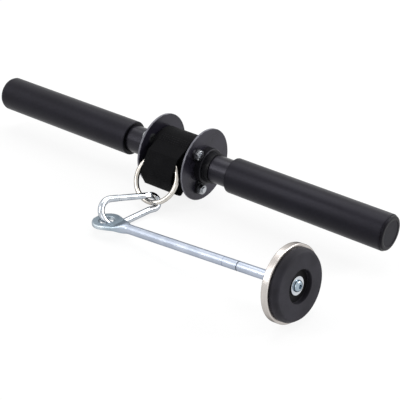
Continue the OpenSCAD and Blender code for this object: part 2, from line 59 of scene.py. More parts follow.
class Value:
    """A socket of a node tree on which sums are written as they are on paper."""

    def __init__(self, graph, socket):
        self.graph = graph
        self.socket = socket

    def sum(self, operation, *values):
        return self.graph.node("ShaderNodeMath", dict(operation=operation), dict(enumerate(values)))

    def __add__(self, other):
        return self.sum("ADD", self, other)

    def __radd__(self, other):
        return self.sum("ADD", other, self)

    def __sub__(self, other):
        return self.sum("SUBTRACT", self, other)

    def __rsub__(self, other):
        return self.sum("SUBTRACT", other, self)

    def __mul__(self, other):
        return self.sum("MULTIPLY", self, other)

    def __rmul__(self, other):
        return self.sum("MULTIPLY", other, self)

    def __truediv__(self, other):
        return self.sum("DIVIDE", self, other)

    def __rtruediv__(self, other):
        return self.sum("DIVIDE", other, self)

    def __mod__(self, other):
        return self.sum("FLOORED_MODULO", self, other)

    def __abs__(self):
        return self.sum("ABSOLUTE", self)

    def floor(self):
        return self.sum("FLOOR", self)

    def sine(self):
        return self.sum("SINE", self)

    def cosine(self):
        return self.sum("COSINE", self)

    def root(self):
        return self.sum("SQRT", self)

    def at_most(self, other):
        return self.sum("MINIMUM", self, other)


class Graph:
    """A node tree that is written from top to bottom."""

    def __init__(self, tree):
        self.tree = tree

    def node(self, kind, settings=None, inputs=None, out=0):
        """Adds one node: its settings first, then the values or links of its sockets."""
        made = self.tree.nodes.new(kind)
        for key, value in (settings or {}).items():
            setattr(made, key, value)
        for key, value in (inputs or {}).items():
            if isinstance(value, Value):
                self.tree.links.new(value.socket, made.inputs[key])
            else:
                made.inputs[key].default_value = value
        return Value(self, made.outputs[out]) if made.outputs else None

    def beside(self, value, key):
        """Another output of the node that a value comes from."""
        return Value(self, value.socket.node.outputs[key])

    def seen(self):
        """1 for what is seen, also in a mirror or through glass, and 0 for what only gives light."""
        ray = self.node("ShaderNodeLightPath", out="Is Camera Ray")
        mirrored = self.beside(ray, "Is Glossy Ray") + self.beside(ray, "Is Transmission Ray")
        return (ray + mirrored).at_most(1.0)


# the lens: its place goes by the turn round the part and the height above the floor
back = Vector((math.sin(AZIMUTH) * math.cos(ELEVATION),
               -math.cos(AZIMUTH) * math.cos(ELEVATION),
               math.sin(ELEVATION)))
right = Vector((math.cos(AZIMUTH), math.sin(AZIMUTH), 0.0))
level = Matrix((right, back.cross(right), back)).transposed().to_4x4()
lens = bpy.data.cameras.new("lens")
lens.sensor_width = SENSOR
lens.lens = SENSOR * LENS_PIXELS / PHOTO_SIDE
lens.clip_start = 0.01
camera = bpy.data.objects.new("camera", lens)
bpy.context.scene.collection.objects.link(camera)
camera.matrix_world = Matrix.Translation(AIM + back * DISTANCE) @ level @ Matrix.Rotation(ROLL, 4, "Z")
bpy.context.scene.camera = camera
bpy.context.scene.view_settings.view_transform = "Standard"

# lamps: name, place, width and height, watts; each looks at the origin
for name, place, size, power in (
        ("soft_top", (-0.2, 0.5, 1.5), (1.6, 1.2), 15.0),
        ("soft_front", (0.6, -1.6, 0.7), (1.2, 0.8), 3.0),
        ("highlight", (-0.62, -0.95, 0.9), (0.25, 1.1), 6.0),
        ("soft_left", (-1.5, -0.5, 0.9), (1.0, 0.8), 2.5),
        ("soft_right", (1.3, 0.9, 0.9), (0.5, 0.5), 14.0),
        ("soft_back", (0.3, 1.6, 0.8), (1.8, 0.5), 8.0)):
    light = bpy.data.lights.new(name, "AREA")
    light.shape = "RECTANGLE"
    light.size, light.size_y = size
    light.energy = power
    holder = bpy.data.objects.new(name, light)
    bpy.context.scene.collection.objects.link(holder)
    turn = Vector(place).to_track_quat("Z", "Y").to_matrix().to_4x4()
    holder.matrix_world = Matrix.Translation(place) @ turn

world = bpy.data.worlds.new("studio")
world.use_nodes = True
bpy.context.scene.world = world
sky = Graph(world.node_tree)
sky.tree.nodes.clear()
strength = SKY_LIGHT + sky.seen() * (1.0 - SKY_LIGHT)
glow = sky.node("ShaderNodeBackground", None, {"Color": WHITE, "Strength": strength})
sky.node("ShaderNodeOutputWorld", None, {"Surface": glow})

bpy.ops.mesh.primitive_grid_add(x_subdivisions=8, y_subdivisions=8, size=FLOOR_SIDE, location=(0.0, 0.0, 0.0))
floor = bpy.context.active_object
floor.name = "floor"
floor.data.transform(Matrix.Translation((0.0, 0.0, -FLOOR_DROP)))
paper = bpy.data.materials.new("floor_paper")
paper.use_nodes = True
sheet = Graph(paper.node_tree)
sheet.tree.nodes.clear()
matt = sheet.node("ShaderNodeBsdfDiffuse", None, {"Color": PAPER})
white = sheet.node("ShaderNodeEmission", None, {"Color": WHITE, "Strength": 1.0})
# near the part the floor isn't wholly white by itself, so that it keeps the part's shadow
spread = sheet.node("ShaderNodeVectorMath", dict(operation="LENGTH"),
                    {0: sheet.node("ShaderNodeTexCoord", out="Object")}, out="Value")
plain = sheet.node("ShaderNodeMapRange", None, {"Value": spread, 1: 0.6, 2: 1.6, 3: 0.86, 4: 1.0})
both = sheet.node("ShaderNodeMixShader", None, {0: sheet.seen() * plain, 1: matt, 2: white})
sheet.node("ShaderNodeOutputMaterial", None, {"Surface": both})
floor.data.materials.append(paper)


# Tube: one length of steel tube runs through the whole bar, from end plug to end plug.
# It is powder coated in black before the grips, hubs and spool are pushed on, which leaves fine lines.
BAR = Vector((0.0, 64.4941, 39.5))
ALONG = Vector((1.0, 0.0, 0.0))
TUBE_R = 15.0
COOL_GLOSS = (0.86, 0.84, 1.0, 1.0)


def tone(code):
    """Colour of a hex code, as light."""
    parts = [int(code[k:k + 2], 16) / 255 for k in (1, 3, 5)]
    return tuple(c / 12.92 if c < 0.04045 else ((c + 0.055) / 1.055) ** 2.4 for c in parts) + (1.0,)


class Finish(Graph):
    """A material built round one Principled shader, in the part's own coordinates."""

    def __init__(self, name, **plain):
        self.material = bpy.data.materials.new(name)
        self.material.use_nodes = True
        super().__init__(self.material.node_tree)
        self.shader = self.tree.nodes["Principled BSDF"]
        for key, value in plain.items():
            self.shader.inputs[key.replace("_", " ")].default_value = value
        self.place = self.node("ShaderNodeTexCoord", out="Object")

    def feed(self, **values):
        """Links values to the shader's sockets."""
        for key, value in values.items():
            self.tree.links.new(value.socket, self.shader.inputs[key.replace("_", " ")])

    def vector(self, operation, a, b=None, out=0):
        inputs = {0: a} if b is None else {0: a, 1: b}
        return self.node("ShaderNodeVectorMath", dict(operation=operation), inputs, out)

    def noise(self, scale, detail, stretch=None):
        where = self.vector("MULTIPLY", self.place, stretch) if stretch else self.place
        return self.node("ShaderNodeTexNoise", None, {"Vector": where, "Scale": scale, "Detail": detail})

    def fade(self, value, low, high, to_low=0.0, to_high=1.0):
        """Goes softly from one number to another while a value goes from low to high."""
        inputs = {"Value": value, 1: low, 2: high, 3: to_low, 4: to_high}
        return self.node("ShaderNodeMapRange", dict(interpolation_type="SMOOTHSTEP"), inputs)

    def blend(self, a, b, factor):
        """A mix of two colours, each of them a hex code or a value."""
        a, b = (tone(c) if isinstance(c, str) else c for c in (a, b))
        return self.node("ShaderNodeMix", dict(data_type="RGBA"), {0: factor, 6: a, 7: b}, out=2)

    def bump(self, height, depth, strength=1.0):
        """Bumps of a depth in millimetres."""
        inputs = {"Height": height, "Distance": depth * MM, "Strength": strength}
        return self.node("ShaderNodeBump", None, inputs)

    def along(self, middle, axis):
        """Millimetres along an axis, from a point on it."""
        offset = self.vector("SUBTRACT", self.place, middle * MM)
        return self.vector("DOT_PRODUCT", offset, axis, out="Value") / MM

    def away(self, middle, axis):
        """Millimetres from an axis through a point."""
        offset = self.vector("SUBTRACT", self.place, middle * MM)
        run = self.vector("DOT_PRODUCT", offset, axis, out="Value")
        size = self.vector("LENGTH", offset, out="Value")
        return (size * size - run * run).root() / MM


def paint(name, dark, light, rough, shine, peel=0.04, worn=None):
    """Powder coat: a faint orange peel, uneven gloss, and metal between two radii where an edge is rubbed,
    which is also a painted highlight.
    """
    coat = Finish(name, Specular_IOR_Level=shine, Specular_Tint=COOL_GLOSS, Coat_Weight=0.04,
                  Coat_Roughness=0.2)
    cloud = coat.noise(40.0, 3.0)
    skin = coat.noise(520.0, 2.0)
    scuff = coat.noise(900.0, 3.0, stretch=(0.15, 1.0, 1.0))
    colour = coat.blend(dark, light, coat.fade(cloud, 0.3, 0.7))
    gloss = rough + (cloud - 0.5) * 0.16 + (scuff - 0.5) * 0.1
    if worn:
        ragged = coat.away(BAR, ALONG) + (coat.noise(260.0, 3.0) - 0.5) * 1.2
        # the lighter band along an edge is rubbed coat and a painted highlight
        wear_and_highlight = coat.fade(ragged, *worn)
        colour = coat.blend(colour, "#77777e", wear_and_highlight * 0.75)
        gloss = gloss - wear_and_highlight * 0.05
    coat.feed(Base_Color=colour, Roughness=gloss, Normal=coat.bump(skin * 0.7 + scuff * 0.3, peel))
    return coat


def dress(look, *nodes):
    """Gives CAD pieces their finish."""
    for node in nodes:
        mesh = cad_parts[node].data
        mesh.materials.clear()
        mesh.materials.append(look.material)


dress(paint("tube_paint", "#0e0d12", "#15141a", 0.3, 0.26, peel=0.008), "handle_tube")


# Grips: two sleeves of closed-cell foam rubber, extruded, cut to length and pushed over the tube with air.
# Their skin is satin, with fine pores and a soft roll at the cut ends, and smoother where hands have been.
GRIP_R = 19.0
GRIP_START = 68.0
GRIP_END = 254.0
HAND_AT = 160.0
SIDES = (("left", -1), ("right", 1))
ROUND_STEPS = 6
BESIDE = 1.2
ROOM = 2.6
SHARP = math.radians(38)
DOUBLED = 2e-7


def eased(outline):
    """A closed outline of (along, radius, rounding), with rounded corners and a point beside each of them."""
    made = []
    for k, (along, radius, size) in enumerate(outline):
        here = Vector((along, radius))
        if not size:
            made.append(here)
            continue
        before = Vector(outline[k - 1][:2]) - here
        after = Vector(outline[(k + 1) % len(outline)][:2]) - here
        a = here + before.normalized() * size
        b = here + after.normalized() * size
        if before.length > ROOM * size:
            made.append(here + before.normalized() * size * BESIDE)
        for step in range(ROUND_STEPS + 1):
            t = step / ROUND_STEPS
            made.append(a * (1 - t) ** 2 + here * 2 * t * (1 - t) + b * t * t)
        if after.length > ROOM * size:
            made.append(here + after.normalized() * size * BESIDE)
    return made


def turned(outline, origin, axis, steps=128):
    """Points and faces of a closed outline of (along, radius), turned about an axis."""
    axis = axis.normalized()
    side = axis.orthogonal().normalized()
    other = axis.cross(side)
    points, faces = [], []
    count = len(outline)
    for k in range(steps):
        angle = 2 * math.pi * k / steps
        out = side * math.cos(angle) + other * math.sin(angle)
        points += [origin + axis * a + out * r for a, r in outline]
    for k in range(steps):
        near, far = k * count, (k + 1) % steps * count
        for i in range(count):
            j = (i + 1) % count
            faces.append((near + i, near + j, far + j, far + i))
    return points, faces


def shell(name, points=(), faces=()):
    """A mesh object at the origin, from points in millimetres."""
    mesh = bpy.data.meshes.new(name)
    mesh.from_pydata([point * MM for point in points], [], faces)
    made = bpy.data.objects.new(name, mesh)
    bpy.context.scene.collection.objects.link(made)
    return made


def smoothed(made):
    """Merges doubled points, points the faces outwards and shades them smooth up to the sharp edges."""
    work = bmesh.new()
    work.from_mesh(made.data)
    bmesh.ops.remove_doubles(work, verts=work.verts, dist=DOUBLED)
    bmesh.ops.recalc_face_normals(work, faces=work.faces)
    work.to_mesh(made.data)
    work.free()
    made.data.polygons.foreach_set("use_smooth", [True] * len(made.data.polygons))
    made.data.set_sharp_from_angle(angle=SHARP)
    return made


def mount(made, look, body, slot, *nodes):
    """Gives a piece its finish and its body, and hides the CAD nodes that it stands for. The slot is not used.
    """
    made.data.materials.clear()
    made.data.materials.append(look.material)
    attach(made, body)
    if nodes:
        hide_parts(*nodes)


foam = Finish("grip_foam", Specular_IOR_Level=0.17, Specular_Tint=COOL_GLOSS)
pores = foam.noise(1400.0, 3.0)
grain = foam.noise(420.0, 3.0)
cloud = foam.noise(22.0, 2.0)
place = abs(foam.along(BAR, ALONG))
handled = foam.fade(abs(place - HAND_AT) + (cloud - 0.5) * 50.0, 20.0, 75.0, 1.0, 0.0)
on_end = foam.fade(place, GRIP_START + 0.3, GRIP_START + 1.2, 1.0, 0.0)
on_end = on_end * foam.fade(foam.away(BAR, ALONG), GRIP_R - 1.8, GRIP_R - 0.4, 1.0, 0.35)
shade = foam.blend("#0b0a0f", "#131218", foam.fade(grain * 0.5 + cloud * 0.5, 0.35, 0.65))
shade = foam.blend(shade, "#08070a", foam.fade(pores, 0.30, 0.42, 0.7, 0.0))
shade = foam.blend(shade, "#050506", on_end)
foam.feed(Base_Color=shade, Roughness=0.40 + (pores - 0.5) * 0.14 - handled * 0.05,
          Normal=foam.bump(pores * 0.6 + grain * 0.4, 0.1, 0.5))

grip_outline = [(GRIP_START, TUBE_R, 0.3), (GRIP_START, GRIP_R, 1.6),
                (GRIP_END, GRIP_R, 1.2), (GRIP_END, TUBE_R, 0.3)]
for name, way in SIDES:
    grip = smoothed(shell(name + "_foam_grip", *turned(eased(grip_outline), BAR, ALONG * way)))
    mount(grip, foam, "bar", "grip_foam", name + "_grip")


# End plugs: moulded caps pressed into the tube, with a rounded rim over the grip and a slightly sunk face.
# The face keeps the fine texture of the mould, the rim is smoother and shines a little more.
PLUG_R = 18.0
PLUG_T = 2.5
PLUG_BORE = 12.95
PLUG_DEEP = 18.0
PLUG_WALL = 3.0
PLUG_LIP = 4.0
PLUG_DISH = 0.5

plug = Finish("plug_plastic", Specular_IOR_Level=0.14, Specular_Tint=COOL_GLOSS)
texture = plug.noise(1800.0, 2.0)
cloud = plug.noise(60.0, 2.0)
face_r = PLUG_R - PLUG_LIP
face = plug.fade(plug.away(BAR, ALONG), face_r - 0.8, face_r + 0.2, 1.0, 0.0)
plug.feed(Base_Color=plug.blend("#08080b", "#14141a", face * 0.7 + (cloud - 0.5) * 0.3),
          Roughness=0.36 + face * 0.14 + (cloud - 0.5) * 0.1,
          Normal=plug.bump(texture * (0.3 + face * 0.7), 0.05, 0.6))

plug_in, plug_out = GRIP_END - PLUG_DEEP, GRIP_END + PLUG_T
plug_outline = [
    (plug_in, PLUG_BORE - PLUG_WALL, 0.3), (plug_in, PLUG_BORE, 0.8),
    (GRIP_END, PLUG_BORE, 0.0), (GRIP_END, PLUG_R, 0.2),
    (plug_out, PLUG_R, 1.9), (plug_out, face_r, 0.5),
    (plug_out - PLUG_DISH, face_r - 0.6, 0.3), (plug_out - PLUG_DISH, 0.0, 0.0),
    (GRIP_END - PLUG_DISH, 0.0, 0.0), (GRIP_END - PLUG_DISH, PLUG_BORE - PLUG_WALL, 0.5)
]
for name, way in SIDES:
    cap = smoothed(shell(name + "_end_plug", *turned(eased(plug_outline), BAR, ALONG * way)))
    mount(cap, plug, "bar", "plug_plastic", name + "_plug")


# Flanges: two discs pressed from steel sheet, slid on the tube on both sides of the strap.
# They are powder coated, and the coat is thin and rubbed along the sharp rim; the lighter rim is partly a
# painted highlight.
FLANGE_R = 39.5

# the worn band lightens the rim: rubbed coat, and a painted highlight along it
flange_paint = paint("flange_paint", "#17161d", "#211f29", 0.3, 0.3, worn=(FLANGE_R - 0.5, FLANGE_R - 0.1))
dress(flange_paint, "left_flange", "right_flange")


# Hubs: bosses with two ears, each clamped on the tube by a grub screw, with the flange bolted to the ears.
# They are blasted and painted, so that their skin is rougher than the flange's; the screws are blackened.
EAR_R = 33.0

hub_paint = paint("hub_paint", "#0e0e10", "#18181b", 0.36, 0.15, peel=0.09, worn=(EAR_R - 1.4, EAR_R))
dress(hub_paint, "left_hub", "right_hub")
oxide = Finish("grub_oxide", Metallic=0.8)
spots = oxide.noise(700.0, 3.0)
oxide.feed(Base_Color=oxide.blend("#2e2e33", "#4a4a50", spots), Roughness=0.3 + spots * 0.2,
           Normal=oxide.bump(spots, 0.03))
dress(oxide, "hub_grub_screws")


# Sleeves: short collars of black plastic between the hub and the bare tube.
# They are turned from rod, so that fine lines run round them.
sleeve = Finish("sleeve_plastic", Specular_IOR_Level=0.15)
lines = sleeve.noise(1.0, 2.0, stretch=(3500.0, 30.0, 30.0))
cloud = sleeve.noise(80.0, 2.0)
sleeve.feed(Base_Color=sleeve.blend("#0e0e10", "#18181b", cloud), Roughness=0.32 + (lines - 0.5) * 0.2,
            Normal=sleeve.bump(lines, 0.03))
dress(sleeve, "left_sleeve", "right_sleeve")


# Flange bolts, washers and nuts: machine screws through flange and ear, with their heads inside the spool.
# Bolts and nuts are zinc plated, and the plate is uneven; the heads inside the spool are painted dark and
# not metallic as shade, and the washers are blackened.
# how far along the bar the bolts are darkened as painted shade
BOLT_SHADE_END = 31.0


def plated(name, base, other, rough, shade_to=None):
    """Plated steel: a clouded tint, uneven gloss, fine scratches; or painted shade up to a place along the
    bar.
    """
    plate = Finish(name, Metallic=1.0, Specular_Tint=(0.22, 0.22, 0.24, 1.0))
    cloud = plate.noise(90.0, 3.0)
    hair = plate.noise(260.0, 4.0, stretch=(0.25, 1.0, 3.0))
    height = plate.noise(1500.0, 2.0) * 0.4 + hair * 0.6
    share = plate.fade(cloud, 0.3, 0.7)
    # painted shade: up to this place along the bar the bolt is dark and not metallic
    if shade_to:
        unshaded = plate.fade(abs(plate.along(BAR, ALONG)), shade_to, shade_to + 1.0)
        share = unshaded * 0.9 + plate.noise(300.0, 2.0) * 0.1
        plate.feed(Metallic=unshaded)
    plate.feed(Base_Color=plate.blend(base, other, share),
               Roughness=rough + (cloud - 0.5) * 0.14 + (hair - 0.5) * 0.12,
               Normal=plate.bump(height, 0.02, 0.6))
    return plate


dress(plated("nut_zinc", "#b9bcbf", "#8d9094", 0.22), "flange_nuts")
dress(plated("bolt_zinc", "#101012", "#c6c9cd", 0.2, shade_to=BOLT_SHADE_END), "flange_bolts")
dress(oxide, "flange_washers")


# Strap: one length of 50 mm polyester webbing, wound on the tube, its end sewn into a loop round the ring.
# The inner layers are one spiral that turns with the tube. The outer turn, the loop, which is drawn together
# at the ring, and its stitches are a body of their own.
STRAP_W = 50.0
LOOP_W = 40.0
STRAP_T = 1.9
SELVEDGE = 0.35
RIM = 0.35
ACROSS = 12
RIB = 1.6
PICK = 2.4
TURN_R = 26.0
TURN_START, TURN_END = 205.0, 530.0
SEWN_R = 28.0
SEWN_FROM, SEWN_TO = 130.0, 110.0
RING_TOP = Vector((-30.0693, 12.3323))
RING_TILT = math.radians(34.0)
WIRE_FRONT = 4.2
WIRE_OVER = 4.0
HANG_STEPS = 8
NARROW_FROM = 30
NARROW_OVER = 8
CORE_LAYERS = 3.85
CORE_START = 16.0
CORE_STEP = 2.0
CORE_END_AT = 200.0
PER_TURN = 72


def on_circle(radius, degrees):
    """A point in Y and Z on a circle round the bar's axis."""
    angle = math.radians(degrees)
    return Vector((radius * math.cos(angle), radius * math.sin(angle)))


def arc(radius, start, end, count):
    return [on_circle(radius, start + (end - start) * k / count) for k in range(count + 1)]


def smooth(p, count):
    """A smooth line through the given points, without the first and the last."""
    made = []
    for i in range(1, len(p) - 2):
        a, b, c, d = p[i - 1:i + 3]
        for k in range(count):
            t = k / count
            made.append(b + (c - a) * (t / 2) + (a - b * 2.5 + c * 2 - d * 0.5) * t * t
                        + ((b - c) * 1.5 + (d - a) * 0.5) * t ** 3)
    return made


def swell(t):
    """Goes softly from 0 to 1 as t does, and stays there outside."""
    t = min(max(t, 0.0), 1.0)
    return t * t * (3 - 2 * t)


def loft(rows, count):
    """Faces of a skin through rows of points, each row closed, with a cap at both ends."""
    faces = [tuple(range(count))]
    for row in range(0, (rows - 1) * count, count):
        for k in range(count):
            j = (k + 1) % count
            faces.append((row + k, row + j, row + count + j, row + count + k))
    faces.append(tuple((rows - 1) * count + k for k in reversed(range(count))))
    return faces


def webbing_piece(name, path, widths, body, node):
    """Webbing along a line in Y and Z, with each point's place on the cloth, in metres, as its UV map."""
    across = [1.0 - 2.0 * k / ACROSS for k in range(ACROSS + 1)]
    section = [(v, 1.0) for v in across] + [(-1.0, RIM), (-1.0, -RIM)]
    section += [(-v, -1.0) for v in across] + [(1.0, -RIM), (1.0, RIM)]
    points, cloth = [], []
    gone = 0.0
    for i, here in enumerate(path):
        if i:
            gone += (here - path[i - 1]).length
        way = (path[min(i + 1, len(path) - 1)] - path[max(i - 1, 0)]).normalized()
        out = Vector((-way.y, way.x))
        for v, h in section:
            inset = SELVEDGE if abs(h) == 1.0 else 0.0
            x = v * (widths[i] / 2 - inset)
            flat = here + out * (STRAP_T / 2 * h)
            points.append(BAR + Vector((x, flat.x, flat.y)))
            cloth.append((gone * MM, x * MM))
    made = shell(name, points, loft(len(path), len(section)))
    layer = made.data.uv_layers.new(name="cloth")
    for loop in made.data.loops:
        layer.data[loop.index].uv = cloth[loop.vertex_index]
    mount(smoothed(made), webbing, body, "webbing", node)


webbing = Finish("webbing", Specular_IOR_Level=0.04, Sheen_Weight=0.01, Sheen_Roughness=0.4)
run = webbing.node("ShaderNodeSeparateXYZ", None, {0: webbing.node("ShaderNodeUVMap", dict(uv_map="cloth"))})
fuzz = webbing.noise(2600.0, 3.0)
column = webbing.beside(run, 1) / (RIB * MM)
row = run / (PICK * MM) + (column.floor() % 2.0) * 0.5
rib = abs((column * math.pi).sine())
pick = abs((row * math.pi).sine())
weave = rib * (0.45 + pick * 0.55)
worn = webbing.fade(webbing.noise(60.0, 3.0), 0.45, 0.75)
yarn = webbing.blend("#080809", "#151517", weave * 0.7 + fuzz * 0.3)
yarn = webbing.blend(yarn, "#1c1c1e", worn * weave * 0.5)
webbing.feed(Base_Color=yarn, Roughness=0.72 + (fuzz - 0.5) * 0.2 - worn * 0.06,
             Normal=webbing.bump(weave * 0.8 + fuzz * 0.2, 0.3, 0.7))

# the loop's line: off the coil, down to the fold, up in front of the ring's wire, over it and on to the coil
leave = on_circle(TURN_R, TURN_END)
down = on_circle(1.0, TURN_END + 90.0)
slope = Vector((-math.sin(RING_TILT), -math.cos(RING_TILT)))
front = Vector((-math.cos(RING_TILT), math.sin(RING_TILT)))
over = RING_TOP + on_circle(WIRE_OVER, 112.0)
sewn_start = on_circle(SEWN_R, SEWN_FROM)
fold = [(26.0, -1.0), (28.5, -4.4), (25.0, -9.6), (17.5, -14.4), (9.0, -17.5)]
hang = [leave + down * fall for fall in (-3.0, 0.0, 10.0, 20.0)]
hang += [leave + down * fall + Vector((swing, 0.0)) for fall, swing in fold]
hang += [RING_TOP + slope * below + front * WIRE_FRONT for below in (16.0, 8.0, 0.0)]
hang += [over + (sewn_start - over) * (k / 3) for k in range(3)]
hang += [sewn_start, on_circle(SEWN_R, (SEWN_FROM + SEWN_TO) / 2)]
turn_line = arc(TURN_R, TURN_START, TURN_END, 130)
path = turn_line + smooth(hang, HANG_STEPS)[1:] + arc(SEWN_R, SEWN_FROM, SEWN_TO, 12)
narrow_at = len(turn_line) + NARROW_FROM
widths = [STRAP_W + (LOOP_W - STRAP_W) * swell((k - narrow_at) / NARROW_OVER) for k in range(len(path))]
webbing_piece("strap_loop", path, widths, "strap", "strap_end")

spiral, widths = [], []
for k in range(int(CORE_LAYERS * PER_TURN) + 1):
    turns = k / PER_TURN
    spiral.append(on_circle(CORE_START + CORE_STEP * turns, CORE_END_AT + (turns - CORE_LAYERS) * 360.0))
    widths.append(STRAP_W - 0.4 + 0.4 * math.sin(k * 0.11))
webbing_piece("strap_inner_layers", spiral, widths, "bar", "strap_core")


# Stitches: the loop's end is sewn down on the coil with rows of black bonded thread across the strap.
# Each stitch is a short, slightly uneven bead of thread that lies along its row.
thread = Finish("thread", Specular_IOR_Level=0.15)
ply = thread.noise(2800.0, 2.0)
thread.feed(Base_Color=thread.blend("#0a0a0c", "#1a1a1d", ply), Roughness=0.5 + ply * 0.3,
            Normal=thread.bump(ply, 0.1, 0.6))

sewn_inputs = {
    "Rows": ("NodeSocketInt", 4),
    "Stitches": ("NodeSocketInt", 12),
    "Row Width": ("NodeSocketFloat", 0.0345),
    "Turn": ("NodeSocketFloat", math.radians(15.0)),
    "Middle": ("NodeSocketFloat", math.radians((SEWN_FROM + SEWN_TO) / 2)),
    "Radius": ("NodeSocketFloat", (SEWN_R + STRAP_T / 2) * MM),
    "Length": ("NodeSocketFloat", 0.0022),
    "Thread": ("NodeSocketFloat", 0.0007),
    "Seed": ("NodeSocketInt", 7)
}
sewing = Graph(bpy.data.node_groups.new("sewn_rows", "GeometryNodeTree"))
names = {}
for label, (kind, value) in sewn_inputs.items():
    names[label] = sewing.tree.interface.new_socket(name=label, in_out="INPUT", socket_type=kind).identifier
sewing.tree.interface.new_socket(name="Geometry", in_out="OUTPUT", socket_type="NodeSocketGeometry")
given = sewing.node("NodeGroupInput")
grid = sewing.node("GeometryNodeMeshGrid", None, {
    "Size X": sewing.beside(given, "Row Width"), "Size Y": sewing.beside(given, "Turn"),
    "Vertices X": sewing.beside(given, "Stitches"), "Vertices Y": sewing.beside(given, "Rows")})
spot = sewing.node("ShaderNodeSeparateXYZ", None, {0: sewing.node("GeometryNodeInputPosition")})
angle = sewing.beside(spot, "Y") + sewing.beside(given, "Middle")
radius = sewing.beside(given, "Radius")
wrapped = sewing.node("ShaderNodeCombineXYZ", None,
                      {0: spot, 1: radius * angle.cosine(), 2: radius * angle.sine()})
laid = sewing.node("GeometryNodeSetPosition", None, {"Geometry": grid, "Position": wrapped})
outward = sewing.node("ShaderNodeVectorMath", dict(operation="MULTIPLY"),
                      {0: sewing.node("GeometryNodeInputPosition"), 1: (0.0, 1.0, 1.0)})
turn = sewing.node("FunctionNodeAxesToRotation", dict(primary_axis="Z", secondary_axis="X"),
                   {0: outward, 1: (1.0, 0.0, 0.0)})
uneven = sewing.node("FunctionNodeRandomValue", dict(data_type="FLOAT"),
                     {2: 0.42, 3: 0.52, "Seed": sewing.beside(given, "Seed")}, out=1)
half_length = sewing.beside(given, "Length") * uneven
half_thick = sewing.beside(given, "Thread") * 0.5
size = sewing.node("ShaderNodeCombineXYZ", None, {0: half_length, 1: half_thick, 2: half_thick})
bead = sewing.node("GeometryNodeMeshUVSphere", None, {"Segments": 10, "Rings": 8, "Radius": 1.0})
beads = sewing.node("GeometryNodeInstanceOnPoints", None,
                    {"Points": laid, "Instance": bead, "Rotation": turn, "Scale": size})
moved = sewing.node("GeometryNodeTransform", None, {"Geometry": beads, "Translation": BAR * MM})
solid = sewing.node("GeometryNodeRealizeInstances", None, {"Geometry": moved})
sewn = sewing.node("GeometryNodeSetMaterial", None, {"Geometry": solid, "Material": thread.material})
sewing.node("NodeGroupOutput", None, {0: sewn})


def settled(made):
    """Turns what the modifiers make of a piece into a plain mesh, and drops the modifiers."""
    graph = bpy.context.evaluated_depsgraph_get()
    made.data = bpy.data.meshes.new_from_object(made.evaluated_get(graph))
    made.modifiers.clear()
    return made


stitches = shell("loop_stitches")
rows = stitches.modifiers.new("rows", "NODES")
rows.node_group = sewing.tree
for label, (kind, value) in sewn_inputs.items():
    rows[names[label]] = value
mount(smoothed(settled(stitches)), thread, "strap", "webbing")


# Ring: round steel wire bent into a circle, butt welded, ground and bright nickel plated.
# Its colour is warmer than zinc, and it carries fine scratches from handling.
dress(plated("nickel", "#c9c5be", "#b3aea7", 0.12), "ring")


# Snap hook: round steel wire bent to a pear shape, with a gate on a rivet that a small spring shuts.
# Body, gate and rivet are bright zinc plated; the spring inside the gate is bare steel.
dress(plated("hook_zinc", "#c9cdd2", "#b2b8bf", 0.1), "hook_body", "hook_gate", "gate_rivet")
dress(plated("spring_steel", "#8f9398", "#7d8187", 0.25), "gate_spring")


# Loading rod: drawn steel rod whose end is forged flat and punched to an eye, zinc plated with a blue tint.
# The forged eye is duller and darker than the drawn rod; two fine rings are turned in the rod, and the
# second of them is darkened as painted shade.
PIN_EYE = Vector((-6.46271, -51.6929, 10.1781))
PIN_WAY = Vector((0.991135, -0.0588843, 0.119099)).normalized()
PIN_ACROSS = Vector((-PIN_WAY.y, PIN_WAY.x, 0.0)).normalized()
PIN_NORMAL = PIN_WAY.cross(PIN_ACROSS)
ROD_R = 5.0
ROD_END = 240.6
EYE_R = 15.5
EYE_T = 4.5
EYE_EDGE = 1.5
EYE_HOLE_R = 7.75
EYE_LIP = 0.8
FLAT_END = 15.0
NECK_FROM, NECK_HALF = 5.42, 14.52
NECK_END = 32.0
ROUND_END = 28.0
GROOVES = (158.6, 176.1)
GROOVE_W = 0.8
GROOVE_DEEP = 0.3
PUNCH_REACH = 4.0
PUNCH_R = 9.0
HAIR = 0.001

blue = Finish("zinc_blue", Metallic=1.0, Specular_Tint=(0.3, 0.31, 0.34, 1.0))
along = blue.along(PIN_EYE, PIN_WAY)
round_eye = blue.away(PIN_EYE, PIN_NORMAL)
eye = blue.fade(along, 14.0, 36.0, 1.0, 0.0)
cloud = blue.noise(70.0, 3.0)
spots = blue.noise(420.0, 4.0)
drawn = blue.noise(1.0, 3.0, stretch=(25.0, 1600.0, 1600.0))
# painted shade: the second ring is darkened
groove_shade = blue.fade(abs(along - (GROOVES[1] + GROOVE_W / 2)), 0.4, 0.9, 0.8, 0.0)
# painted highlight and wear: the eye's outer rim and the edge of its hole are lighter
wear_and_highlight = blue.fade(round_eye, EYE_R - 1.9, EYE_R - 0.7) * blue.fade(along, 4.0, 14.0, 1.0, 0.0)
wear_and_highlight = wear_and_highlight + blue.fade(round_eye, EYE_HOLE_R + 0.25, EYE_HOLE_R + 1.05, 1.0, 0.0)
colour = blue.blend("#b8bfcc", "#a8b0be", blue.fade(cloud, 0.3, 0.7))
colour = blue.blend(colour, "#9dabb4", eye * 0.9)
colour = blue.blend(colour, "#7c8a93", blue.fade(spots, 0.55, 0.75) * eye * 0.5)
colour = blue.blend(colour, "#565b62", groove_shade)
colour = blue.blend(colour, "#d3dbe0", wear_and_highlight * 0.6)
blue.feed(Base_Color=colour,
          Roughness=0.34 + (cloud - 0.5) * 0.1 + (spots - 0.5) * eye * 0.1 - wear_and_highlight * 0.06,
          Normal=blue.bump(drawn * (1 - eye) * 0.25 + spots * (0.04 + eye), 0.04, 0.7))


def on_pin(along, width=0.0, height=0.0):
    """A point of the loading pin: along it from the eye, across it, and out of the eye's plate."""
    return PIN_EYE + PIN_WAY * along + PIN_ACROSS * width + PIN_NORMAL * height


